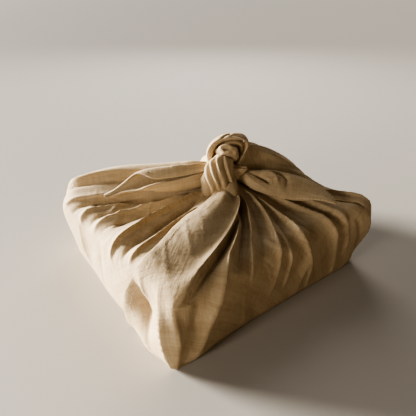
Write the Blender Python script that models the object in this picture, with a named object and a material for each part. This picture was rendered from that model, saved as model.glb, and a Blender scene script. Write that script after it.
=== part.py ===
"""A square cloth wrapped round a low box shape and tied on top: a furoshiki bundle.

The near and the far corner of the cloth are knotted over the middle, the left and the right one
lie under them. The bundle is one filled solid with the folds of the cloth on it. Its grid runs
along the cloth: a bearing around the knot, and a share that is 0 at the knot, 1 at the upper edge
of the sides and 2 where they meet the ground.
"""

import math
from collections import namedtuple

import bmesh
import bpy
import numpy as np

MM = 0.001

# the bundle; bearings are those of its plan when that is stretched to a square
HALF_WIDTH = 115 * MM
DEPTH_SHARE = 0.9  # of its width
EDGE_HEIGHT = 68 * MM
EDGE_RADIUS = 13 * MM
CORNER_POWER = 14.0  # of the superellipse that the sides follow in plan
FOOT_TUCK = 2.5 * MM  # how far the cloth turns in at the ground
FOOT_SHARE = 1.9  # where that starts
KNOT_PLACE = (8 * MM, -5 * MM)
KNOT_CORE_HEIGHT = 98 * MM

# the rise of the cloth from the upper edge to the knot, in front and behind it
FRONT_RISE = 22 * MM
FRONT_POWER = 1.6
BACK_RISE = 56 * MM
BACK_POWER = 1.9
BACK_BEARING = 57.0
BACK_SPAN = 92.0
BACK_BLEND = 22.0

# the folds of the front turn round the knot as they near it
SWIRL_BEARING = 258.0
SWIRL_SPAN = 82.0
SWIRL_PLATEAU = 1.4
SWIRL_TURN = 27.0
SWIRL_POWER = 1.3
BISECTIONS = 36
NORMAL_STEP = 0.02  # in shares
NORMAL_TURN = 0.2  # in degrees

# the grid, with its segments closer together where the folds are closest
SEGMENTS = 132
CLOSE_BEARING = 205.0
CLOSENESS = 0.34
SHARES = (0.06, 0.15, 0.23, 0.31, 0.38, 0.45, 0.52, 0.59, 0.66, 0.73, 0.80, 0.86, 0.91, 0.96, 1.0,
          1.04, 1.09, 1.16, 1.25, 1.36, 1.48, 1.62, 1.76, 1.90, 2.0)
FOOT_RINGS = (0.75, 0.4)  # of the rings on the flat underside, as shares of its outline
NARROWEST = 0.4  # of a fold at the knot, as a share of its width at the upper edge
LEAST_HALF_WIDTH = 1.6  # mm
CREST_POWER = 1.6  # 2 is a round crest, 1 a sharp one

# the knot's own frame: to the right, away and up as seen from the side on which its tails lie
KNOT_TURN = -37.0
LOOP_SIDES = 12

# broad swellings: around their bearing, and outward and upward at their share
Swelling = namedtuple("Swelling", "bearing half_angle share half_share out up")
SWELLINGS = (
    Swelling(136, 14, 1.12, 0.55, 12, 4),   # left corner
    Swelling(314, 13, 1.15, 0.55, 14, 5),   # right corner
    Swelling(222, 8, 1.75, 0.70, 8, 0),     # near corner
    Swelling(183, 34, 1.65, 0.70, 8, 0),    # left side
    Swelling(335, 30, 0.85, 0.30, 0, 4),    # top behind the right tail
    Swelling(95, 38, 0.40, 0.90, 0, -34),   # hollow behind the left tail
    Swelling(131, 8, 0.80, 0.34, 0, 13),    # ridge from the knot to the left corner
)

# folds that run out from the knot: bearings at the start, the middle and the end of the fold, its
# half widths to the lesser and the greater bearing, and its heights in mm, below 0 for a trough
Fold = namedtuple("Fold", "start end bearing0 bearing1 bearing2 lesser greater height0 height1 height2")
FRONT_FOLDS = (
    Fold(0.20, 2.00, 207, 202, 198, 4, 34, 3, 5, 6),        # free hem of the near corner's flap
    Fold(1.00, 1.95, 207, 208, 208, 6, 5, 0, -4, 0),
    Fold(0.98, 2.00, 221, 222, 222, 6, 2, 2, 5, 2),         # near corner
    Fold(0.25, 1.10, 246, 229, 222, 7, 4, 3, 5, 2),
    Fold(0.28, 1.08, 251, 235, 226, 4, 4, -2, -3, -1),
    Fold(0.40, 1.95, 240, 231, 224, 4, 4, 3, 4, 1),
    Fold(0.28, 1.05, 246, 241, 240, 3.5, 4, -3, -5, 0),
    Fold(0.22, 1.35, 252, 246, 243, 3, 4, 5, 6, 0),
    Fold(0.30, 1.30, 256, 253, 251, 3, 3, -3, -4, 0),
    Fold(0.18, 1.30, 268, 263, 257, 4, 4, 4, 6, 0),
    Fold(0.85, 1.15, 255, 258, 265, 2, 3, 0, 3, 0),
    Fold(0.88, 1.25, 257, 261, 263, 3, 3, 0, 4, 0),
    Fold(0.95, 1.85, 266, 268, 266, 4, 5, 0, 4, 0),
    Fold(0.30, 1.15, 268, 269, 270, 3, 3, -2, -3, 0),
    Fold(0.22, 1.60, 267, 277, 292, 3, 2, 5, 7, 0),
    Fold(0.20, 1.30, 272, 280, 289, 2, 4, -5, -6, 0),
    Fold(0.30, 1.15, 285, 286, 290, 4, 4, -2, -3, 0),
    Fold(0.35, 1.70, 291, 296, 309, 3, 3, 4, 5, 0),
    Fold(0.55, 1.15, 299, 299, 300, 3, 3, -2, -3, 0),
    Fold(0.40, 1.40, 305, 302, 303, 2.5, 2.5, 3, 5, 0),
    Fold(0.68, 1.00, 311, 311, 311, 2.5, 2.5, -2, -3, 0),
    Fold(0.65, 1.02, 318, 316, 314, 4, 2, 2, 5, 3),         # hem over the right corner
    Fold(1.00, 1.90, 306, 309, 313, 2.5, 2.5, 0, -4, 0),
    Fold(1.00, 1.90, 310, 313, 316, 2.5, 2.5, 0, 3, 0),
    Fold(1.05, 1.95, 281, 279, 276, 6, 7, 0, 3, 0),
    Fold(1.10, 2.00, 243, 246, 248, 7, 6, 0, -3, -1),
)
LEFT_FOLDS = (
    Fold(0.40, 1.05, 197, 195, 194, 4, 4, 0, 5, 0),
    Fold(0.20, 1.10, 190, 187, 186, 4, 6, -4, -7, 0),
    Fold(0.15, 1.25, 174, 177, 175, 4, 3, 5, 7, 0),
    Fold(0.25, 1.05, 166, 167, 167, 4, 4, -4, -5, 0),
    Fold(0.25, 1.15, 160, 159, 163, 4, 4, 3, 5, 0),
    Fold(0.45, 1.10, 153, 154, 158, 3, 3, -3, -4, 0),
    Fold(0.60, 1.15, 147, 149, 152, 3, 3, 0, 4, 0),
    Fold(0.50, 1.06, 144, 145, 145, 2.5, 2.5, -2, -4, 0),
    Fold(0.45, 1.04, 140, 141, 140, 3, 2.5, 1, 3, 1),
    Fold(0.55, 0.98, 136, 136, 135, 2.5, 2.5, -3, -4, -1),
    Fold(0.10, 1.02, 133, 131, 132, 5, 3, 3, 4, 2),         # rolled hem of the far corner's flap
    Fold(1.05, 1.90, 150, 152, 156, 5, 6, 0, 3, 0),
    Fold(1.05, 1.90, 168, 170, 172, 6, 8, 0, -2, 0),
)
BACK_FOLDS = (
    Fold(0.15, 1.40, 122, 121, 118, 4, 5, 3, 5, 0),
    Fold(0.15, 1.30, 113, 112, 110, 4, 4, -3, -5, 0),
    Fold(0.15, 1.55, 103, 104, 106, 5, 4, 4, 6, 0),
    Fold(0.20, 1.25, 94, 95, 97, 3, 5, -4, -5, 0),
    Fold(0.15, 1.70, 86, 85, 82, 4, 5, 4, 6, 0),
    Fold(0.20, 1.35, 76, 76, 74, 5, 3, -3, -6, 0),
    Fold(0.15, 1.50, 67, 66, 69, 4, 4, 4, 5, 0),
    Fold(0.20, 1.60, 55, 54, 57, 4, 5, -4, -5, 0),
    Fold(0.15, 1.95, 42, 43, 44, 5, 5, 4, 6, 2),
    Fold(0.20, 1.30, 31, 30, 33, 5, 4, -3, -4, 0),
    Fold(0.15, 1.45, 18, 17, 20, 5, 5, 3, 4, 0),
    Fold(0.20, 1.25, 6, 5, 3, 5, 5, -3, -3, 0),
    Fold(0.15, 1.60, 353, 352, 350, 5, 5, 3, 4, 0),
    Fold(0.20, 1.10, 340, 341, 342, 4, 4, -2, -3, 0),
    Fold(1.00, 1.90, 326, 324, 322, 4, 5, 0, 4, 0),
)

# strands of the knot and its tails, as sections along their middle: place right, away and up from
# the knot's foot, half width and half thickness, and the tilt of the width out of its axis
Section = namedtuple("Section", "right away up half_width half_thickness tilt")
Strand = namedtuple("Strand", "width_axis pleats pleat_depth sections")
RIGHT = (1, 0, 0)
AWAY = (0, 1, 0)
STRANDS = {
    "wrap": Strand(RIGHT, 7, 1.6, (
        Section(-11, -12, 76, 7, 6, 0),
        Section(-9, -14, 84, 13, 9, 0),
        Section(-6, -13, 94, 15, 11, 0),
        Section(-4, -11, 104, 14, 10, 0),
        Section(-2, -8, 114, 11, 8, 0),
        Section(0, -4, 121, 7, 5, 0),
    )),
    "nub": Strand(AWAY, 0, 0, (
        Section(-7, 0, 119, 5, 6, 0),
        Section(-2, -3, 121, 7, 8, 0),
        Section(4, -4, 122, 8, 9, 0),
        Section(10, -3, 120, 7.5, 8, 0),
        Section(15, 1, 115, 5, 7, 0),
    )),
    "arch": Strand(AWAY, 0, 0, (
        Section(-7, 6, 98, 6, 5, 0),
        Section(-12, 3, 111, 6, 4.5, 0),
        Section(-12, 2, 121, 6, 4.5, 0),
        Section(-7, 3, 129, 6, 4.5, 0),
        Section(1, 4, 133, 6, 4, 0),
        Section(10, 4, 134, 6, 4, 0),
        Section(17, 4, 134, 6, 4, 0),
        Section(21, 5, 128, 6, 4, 0),
        Section(19, 7, 117, 7, 4.5, 0),
        Section(14, 9, 104, 8, 6, 0),
        Section(11, 9, 94, 8, 6, 0),
    )),
    "ear": Strand(AWAY, 0, 0, (
        Section(4, -3, 99, 8, 7, 0),
        Section(13, -4, 100, 9, 8, 0),
        Section(21, -4, 102, 7, 6, 0),
        Section(27, -4, 104, 4, 4, 0),
    )),
    "band": Strand(RIGHT, 0, 0, (
        Section(12, -4, 93, 6, 6, 0),
        Section(8, -15, 90, 8, 6, 0),
        Section(3, -25, 85, 10, 5, 0),
        Section(-3, -37, 81, 12, 4, 0),
        Section(-9, -50, 76, 12, 3, 0),
    )),
}
STATIONS_BETWEEN = 2  # further sections between two of the table

# the tails: the corner of the cloth folded lengthwise with its hems towards the front, closed at
# the knot and opening towards the tip; opening is half the angle that the hems leave between them
Leaf = namedtuple("Leaf", "right away up half_width half_thickness tilt opening")
TAILS = {
    "left_tail": (
        Leaf(-4, 2, 98, 8, 7, 60, 9),
        Leaf(-20, -2, 97, 11, 7, 62, 7),
        Leaf(-38, -5, 95, 12.5, 7, 62, 7),
        Leaf(-58, -4, 93, 13, 7, 60, 9),
        Leaf(-73, -3, 92, 12.5, 7, 57, 30),
        Leaf(-85, -2, 90, 11, 6, 52, 70),
        Leaf(-98, -4, 86, 8, 4, 45, 105),
        Leaf(-109, -8, 82, 5, 3, 40, 115),
        Leaf(-119, -13, 79.5, 2.4, 2.4, 35, 120),
    ),
    "right_tail": (
        Leaf(8, 0, 98, 7, 7, 45, 9),
        Leaf(24, -2, 97, 9.5, 7, 45, 9),
        Leaf(38, -4, 93.5, 12, 7, 44, 24),
        Leaf(52, -7, 91, 14.5, 7, 42, 62),
        Leaf(66, -9, 89, 15, 5.5, 36, 98),
        Leaf(80, -12, 86.5, 13.5, 4, 26, 112),
        Leaf(94, -21, 84, 9, 3, 16, 116),
        Leaf(107, -35, 80.5, 2.4, 2.4, 10, 120),
    ),
}
TAIL_WALL = 1.6 * MM
TAIL_STEPS = 9
TAIL_STATIONS_BETWEEN = 1

CLOTH_COLOUR = (0.60, 0.49, 0.36)
CLOTH_ROUGHNESS = 0.85


def smooth_step(x):
    x = np.clip(x, 0.0, 1.0)
    return x * x * (3.0 - 2.0 * x)


def turn_between(bearing, other):
    """Signed angle in degrees from one bearing to another."""
    return (bearing - other + 180.0) % 360.0 - 180.0


def through_three(u, a, b, c):
    """The parabola with the values a, b and c at u = 0, 0.5 and 1."""
    return a * (1 - u) * (1 - 2 * u) + 4 * b * u * (1 - u) + c * u * (2 * u - 1)


def outline(angle):
    """Distance from the knot to the sides of the bundle in its stretched plan."""
    near = np.zeros_like(angle)
    far = np.full_like(angle, 3 * HALF_WIDTH)
    for _ in range(BISECTIONS):
        middle = (near + far) / 2
        x = (KNOT_PLACE[0] + middle * np.cos(angle)) / HALF_WIDTH
        y = (KNOT_PLACE[1] / DEPTH_SHARE + middle * np.sin(angle)) / HALF_WIDTH
        inside = np.abs(x) ** CORNER_POWER + np.abs(y) ** CORNER_POWER < 1
        near = np.where(inside, middle, near)
        far = np.where(inside, far, middle)
    return near


def plain_surface(bearing, share):
    """Points of the bundle without its folds."""
    off_swirl = np.abs(turn_between(bearing, SWIRL_BEARING))
    swirl = SWIRL_TURN * smooth_step((SWIRL_SPAN - off_swirl) / SWIRL_SPAN * SWIRL_PLATEAU)
    angle = np.radians(bearing + swirl * np.clip(1 - share, 0, 1) ** SWIRL_POWER)
    reach = outline(angle)
    flat = reach - EDGE_RADIUS
    half_arc = EDGE_RADIUS * math.pi / 4
    top = flat + half_arc
    side = half_arc + EDGE_HEIGHT - EDGE_RADIUS
    path = np.where(share < 1, share * top, top + (share - 1) * side)
    arc = np.clip((path - flat) / EDGE_RADIUS, 0, math.pi / 2)
    out = np.where(path < flat, path, flat + EDGE_RADIUS * np.sin(arc))
    drop = np.where(path < flat, 0, EDGE_RADIUS * (1 - np.cos(arc)))
    drop += np.maximum(0, path - flat - EDGE_RADIUS * math.pi / 2)
    inward = np.clip(out / reach, 0, 1)
    behind = smooth_step((BACK_SPAN - np.abs(turn_between(bearing, BACK_BEARING))) / BACK_BLEND)
    rise = (1 - behind) * FRONT_RISE * (1 - inward) ** FRONT_POWER
    rise += behind * BACK_RISE * (1 - inward ** BACK_POWER)
    for swelling in SWELLINGS:
        across = turn_between(bearing, swelling.bearing) / swelling.half_angle
        along = (share - swelling.share) / swelling.half_share
        amount = np.exp(-across ** 2 - along ** 2) * MM
        out = out + swelling.out * amount
        rise = rise + swelling.up * amount * np.clip(2 - share, 0, 1)
    out = out - FOOT_TUCK * smooth_step((share - FOOT_SHARE) / (2 - FOOT_SHARE))
    x = KNOT_PLACE[0] + out * np.cos(angle)
    y = KNOT_PLACE[1] + out * np.sin(angle) * DEPTH_SHARE
    return np.stack([x, y, EDGE_HEIGHT - drop + rise], axis=-1)


def surface_normal(bearing, share):
    """Outward directions of the plain surface."""
    across = plain_surface(bearing + NORMAL_TURN, share) - plain_surface(bearing - NORMAL_TURN, share)
    farther = np.minimum(share + NORMAL_STEP, 2)
    along = plain_surface(bearing, farther) - plain_surface(bearing, farther - 2 * NORMAL_STEP)
    normal = np.cross(along, across)
    return normal / np.linalg.norm(normal, axis=-1, keepdims=True)


def fold_height(bearing, share, spread):
    """Height of all folds at each point; spread is the distance from the knot in plan."""
    height = np.zeros_like(bearing)
    narrow = NARROWEST + (1 - NARROWEST) * np.clip(share, 0, 1)
    for fold in FRONT_FOLDS + LEFT_FOLDS + BACK_FOLDS:
        u = (share - fold.start) / (fold.end - fold.start)
        inside = (u > 0) & (u <= 1)
        u = np.clip(u, 0, 1)
        centre = through_three(u, fold.bearing0, fold.bearing1, fold.bearing2)
        across = np.radians(turn_between(bearing, centre)) * spread / MM
        half_width = np.where(across < 0, fold.lesser, fold.greater) * narrow
        half_width = np.maximum(half_width, LEAST_HALF_WIDTH)
        size = through_three(u, fold.height0, fold.height1, fold.height2)
        height += np.where(inside, size * np.exp(-np.abs(across / half_width) ** CREST_POWER), 0)
    return height * MM


def cloth_surface(bearing, share):
    """Points of the bundle with its folds."""
    plain = plain_surface(bearing, share)
    spread = np.hypot(plain[..., 0] - KNOT_PLACE[0], plain[..., 1] - KNOT_PLACE[1])
    height = fold_height(bearing, share, spread)
    moved = plain + surface_normal(bearing, share) * height[..., None]
    moved[..., 2] = np.where(share >= 2, 0, np.maximum(moved[..., 2], 0.0))
    return moved


def make_bundle():
    """A sphere whose rings are laid along the cloth: from the knot out, down the sides and under."""
    rings = len(SHARES) + len(FOOT_RINGS)
    ball = bmesh.new()
    bmesh.ops.create_uvsphere(ball, u_segments=SEGMENTS, v_segments=rings + 1, radius=1.0)
    ring_of = [round((math.pi / 2 - math.asin(max(-1, min(1, v.co.z)))) * (rings + 1) / math.pi)
               for v in ball.verts]
    ring = np.array(ring_of)
    turn = np.array([math.degrees(math.atan2(v.co.y, v.co.x)) for v in ball.verts])
    bearing = (turn - math.degrees(CLOSENESS) * np.sin(np.radians(turn - CLOSE_BEARING))) % 360
    share = np.array([SHARES[min(max(r, 1), len(SHARES)) - 1] for r in ring_of])
    points = cloth_surface(bearing, share)
    middle = np.array([KNOT_PLACE[0], KNOT_PLACE[1], 0.0])
    for number, inset in enumerate(FOOT_RINGS, start=len(SHARES) + 1):
        on_ring = ring == number
        points[on_ring] = middle + (points[on_ring] - middle) * inset
    points[ring == rings + 1] = middle
    points[ring == 0] = middle + np.array([0, 0, KNOT_CORE_HEIGHT])
    for vert, point in zip(ball.verts, points):
        vert.co = point
    bmesh.ops.recalc_face_normals(ball, faces=ball.faces)
    bmesh.ops.triangulate(ball, faces=ball.faces, quad_method="FIXED")
    mesh = bpy.data.meshes.new("furoshiki_cloth")
    ball.to_mesh(mesh)
    ball.free()
    bundle = bpy.data.objects.new("furoshiki_cloth", mesh)
    parts.objects.link(bundle)
    return bundle


def from_knot(right, away, up):
    """A place in the knot's own frame, in mm, as a point of the object's frame."""
    turn = math.radians(KNOT_TURN)
    x = KNOT_PLACE[0] + (right * math.cos(turn) - away * math.sin(turn)) * MM
    y = KNOT_PLACE[1] + (right * math.sin(turn) + away * math.cos(turn)) * MM
    return np.array([x, y, up * MM])


def between(rows, u):
    """The table's values at u, by a curve through its rows."""
    rows = np.array(rows, dtype=float)
    first = min(int(u), len(rows) - 2)
    t = u - first
    p0 = rows[max(first - 1, 0)]
    p1 = rows[first]
    p2 = rows[first + 1]
    p3 = rows[min(first + 2, len(rows) - 1)]
    return 0.5 * (2 * p1 + (p2 - p0) * t + (2 * p0 - 5 * p1 + 4 * p2 - p3) * t ** 2
                  + (3 * p1 - p0 - 3 * p2 + p3) * t ** 3)


def sections_along(table, between_rows, width_axis):
    """The table's rows and those between them, each with its middle, width and thickness directions."""
    kind = type(table[0])
    count = (len(table) - 1) * (between_rows + 1) + 1
    rows = [kind(*between(table, i / (between_rows + 1))) for i in range(count)]
    middles = np.array([from_knot(row.right, row.away, row.up) for row in rows])
    axis = from_knot(*width_axis) - from_knot(0, 0, 0)
    found = []
    upper = np.array([0.0, 0.0, 1.0])
    for i, row in enumerate(rows):
        along = middles[min(i + 1, count - 1)] - middles[max(i - 1, 0)]
        along /= np.linalg.norm(along)
        level = axis - along * axis.dot(along)
        level /= np.linalg.norm(level)
        over = np.cross(level, along)
        over *= 1 if over.dot(upper) >= 0 else -1
        upper = over
        tilt = math.radians(row.tilt)
        wide = level * math.cos(tilt) + over * math.sin(tilt)
        thick = over * math.cos(tilt) - level * math.sin(tilt)
        found.append((row, middles[i], wide, thick))
    return found


def make_loft(name, rings):
    """A closed mesh through rings of points, kept aside to be joined to the bundle."""
    loft = bmesh.new()
    sections = [[loft.verts.new(point) for point in ring] for ring in rings]
    sides = len(rings[0])
    for one, two in zip(sections, sections[1:]):
        for k in range(sides):
            loft.faces.new((one[k], one[(k + 1) % sides], two[(k + 1) % sides], two[k]))
    loft.faces.new(sections[0][::-1])
    loft.faces.new(sections[-1])
    bmesh.ops.recalc_face_normals(loft, faces=loft.faces)
    mesh = bpy.data.meshes.new(name)
    loft.to_mesh(mesh)
    loft.free()
    piece = bpy.data.objects.new(name, mesh)
    helpers.objects.link(piece)
    piece.hide_render = True
    piece.display_type = "WIRE"
    return piece


def make_strand(name, strand):
    """A loft of oval sections, which may be pleated lengthwise."""
    sides = strand.pleats * 4 or LOOP_SIDES
    rings = []
    for row, middle, wide, thick in sections_along(strand.sections, STATIONS_BETWEEN, strand.width_axis):
        ring = []
        for k in range(sides):
            angle = math.tau * k / sides
            swell = 1 + strand.pleat_depth / row.half_width * math.cos(strand.pleats * angle)
            offset = wide * math.cos(angle) * row.half_width + thick * math.sin(angle) * row.half_thickness
            ring.append(middle + offset * swell * MM)
        rings.append(ring)
    return make_loft(name, rings)


def make_tail(name, leaves):
    """A loft of sections like a C, open to the front, whose two ends are the hems."""
    rings = []
    for leaf, middle, wide, thick in sections_along(leaves, TAIL_STATIONS_BETWEEN, AWAY):
        start = math.radians(90 + leaf.opening)
        stop = math.radians(450 - leaf.opening)
        angles = [start + (stop - start) * k / TAIL_STEPS for k in range(TAIL_STEPS + 1)]
        outer = []
        inner = []
        for angle in angles:
            out = wide * math.cos(angle) + thick * math.sin(angle)
            skin = wide * math.cos(angle) * leaf.half_width + thick * math.sin(angle) * leaf.half_thickness
            outer.append(middle + skin * MM)
            inner.append(middle + skin * MM - out * TAIL_WALL)
        rings.append(outer + inner[::-1])
    return make_loft(name, rings)


def cloth_material():
    material = bpy.data.materials.new("cotton")
    material.use_nodes = True
    shader = material.node_tree.nodes["Principled BSDF"]
    shader.inputs["Base Color"].default_value = (*CLOTH_COLOUR, 1)
    shader.inputs["Roughness"].default_value = CLOTH_ROUGHNESS
    return material


for old in list(bpy.data.objects):
    bpy.data.objects.remove(old)

parts = bpy.data.collections.new("furoshiki wrap")
helpers = bpy.data.collections.new("strands to join")
bpy.context.scene.collection.children.link(parts)
bpy.context.scene.collection.children.link(helpers)

cloth = make_bundle()
strands = [make_strand(name, strand) for name, strand in STRANDS.items()]
strands += [make_tail(name, leaves) for name, leaves in TAILS.items()]
for strand in strands:
    join = cloth.modifiers.new(strand.name, "BOOLEAN")
    join.operation = "UNION"
    join.solver = "EXACT"
    join.object = strand
cloth.data.materials.append(cloth_material())
cloth.data.shade_smooth()
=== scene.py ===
import math

import bpy
import numpy as np
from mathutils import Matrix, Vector


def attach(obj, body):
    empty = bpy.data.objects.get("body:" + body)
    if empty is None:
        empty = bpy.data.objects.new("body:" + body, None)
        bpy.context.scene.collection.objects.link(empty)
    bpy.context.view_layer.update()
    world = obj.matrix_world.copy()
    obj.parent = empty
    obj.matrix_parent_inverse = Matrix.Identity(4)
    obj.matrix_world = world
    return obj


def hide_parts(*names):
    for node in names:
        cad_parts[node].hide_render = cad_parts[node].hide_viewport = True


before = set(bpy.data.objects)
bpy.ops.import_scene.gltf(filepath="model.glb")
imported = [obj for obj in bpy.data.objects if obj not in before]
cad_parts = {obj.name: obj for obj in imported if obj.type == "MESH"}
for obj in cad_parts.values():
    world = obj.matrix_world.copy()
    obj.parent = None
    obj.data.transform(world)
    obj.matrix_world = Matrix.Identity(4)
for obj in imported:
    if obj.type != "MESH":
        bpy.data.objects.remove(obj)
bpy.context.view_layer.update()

mm = 0.001
chance = np.random.default_rng(41)


def smoothStep(x):
    x = np.clip(x, 0.0, 1.0)
    return x * x * (3.0 - 2.0 * x)


def turnBetween(bearing, other):
    return (bearing - other + 180.0) % 360.0 - 180.0


def throughThree(u, a, b, c):
    # a parabola with these values at the start, the middle and the end
    return a * (1 - u) * (1 - 2 * u) + 4 * b * u * (1 - u) + c * u * (2 * u - 1)


def unit(v):
    return v / np.maximum(np.linalg.norm(v, axis=-1, keepdims=True), 1e-12)


def softWaves(x, y, seed, count=5):
    # a few crossed sine waves: smooth unevenness with the same shape each run
    dice = np.random.default_rng(seed)
    total = np.zeros(np.broadcast(x, y).shape)
    for _ in range(count):
        a = dice.uniform(-1, 1)
        b = dice.uniform(-1, 1)
        total = total + np.sin(x * a + y * b + dice.uniform(0, math.tau))
    return total / math.sqrt(count)


def alongRows(rows, u):
    # values of a table between its rows, on a smooth curve through them
    rows = np.asarray(rows, float)
    u = np.clip(u, 0, len(rows) - 1)
    first = np.minimum(u.astype(int), len(rows) - 2)
    t = (u - first)[:, None]
    p0 = rows[np.maximum(first - 1, 0)]
    p1 = rows[first]
    p2 = rows[first + 1]
    p3 = rows[np.minimum(first + 2, len(rows) - 1)]
    return 0.5 * (2 * p1 + (p2 - p0) * t + (2 * p0 - 5 * p1 + 4 * p2 - p3) * t ** 2
                  + (3 * p1 - p0 - 3 * p2 + p3) * t ** 3)


def strokeHeight(u, v, strokes, steps=12, fading=4, sharpness=1.5):
    # short creases drawn on a surface: three places each, the half width on either side, the height
    height = np.zeros(np.broadcast(u, v).shape)
    for start, middle, end, halfLeft, halfRight, tall in strokes:
        t = np.linspace(0, 1, steps + 1)[:, None]
        line = throughThree(t, *np.array((start, middle, end), float))
        nearest = np.full(height.shape, 1e9)
        side = np.zeros(height.shape)
        place = np.zeros(height.shape)
        for k in range(steps):
            du, dv = line[k + 1] - line[k]
            pu = u - line[k][0]
            pv = v - line[k][1]
            along = np.clip((pu * du + pv * dv) / (du * du + dv * dv), 0, 1)
            gap = np.hypot(pu - along * du, pv - along * dv)
            closer = gap < nearest
            nearest = np.where(closer, gap, nearest)
            side = np.where(closer, du * pv - dv * pu, side)
            place = np.where(closer, (k + along) / steps, place)
        fade = smoothStep(place * fading) * smoothStep((1 - place) * fading)
        half = np.where(side > 0, halfLeft, halfRight)
        height += tall * fade * np.exp(-(nearest / half) ** sharpness)
    return height


# the bundle: mostly the solid's measures and folds, with a rounder top edge and finer folds between
bundle = {
    "halfWidth": 115 * mm, "depthShare": 0.9, "edgeHeight": 68 * mm, "edgeRadius": 16 * mm,
    "cornerPower": 14.0, "footTuck": 2.5 * mm, "footShare": 1.9, "knotPlace": (8 * mm, -5 * mm),
    "coreHeight": 98 * mm, "lowest": 0.2 * mm, "undersideHeight": 0.4 * mm,
    "undersideInsets": (0.85, 0.6, 0.3),
    "frontRise": 22 * mm, "frontPower": 1.6, "backRise": 56 * mm, "backPower": 1.9,
    "backBearing": 57.0, "backSpan": 92.0, "backBlend": 22.0,
    "swirlBearing": 258.0, "swirlSpan": 82.0, "swirlPlateau": 1.4, "swirlTurn": 27.0, "swirlPower": 1.3,
    "narrowest": 0.4, "leastHalfWidth": 1.1, "crestPower": 1.3, "leastSpread": 12 * mm,
    "waver": 0.35, "waverRate": 7, "unevenness": 0.12, "unevenRate": 9,
    "startFading": 7, "leanFading": 4, "crumplesEnd": 1.12, "crumplesFade": 0.1,
    # bearing, half angle, share, half share, out and up in mm
    "swellings": (
        (136, 14, 1.12, 0.55, 12, 4), (314, 13, 1.15, 0.55, 14, 5), (222, 8, 1.75, 0.7, 8, 0),
        (183, 34, 1.65, 0.7, 8, 0), (335, 30, 0.85, 0.3, 0, 4), (95, 38, 0.4, 0.9, 0, -34),
        (131, 8, 0.8, 0.34, 0, 13), (212, 12, 0.56, 0.26, 0, 3), (224, 10, 0.2, 0.18, 0, 5),
        (209.5, 8, 1.95, 0.5, 8, 0),
    ),
}

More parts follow.
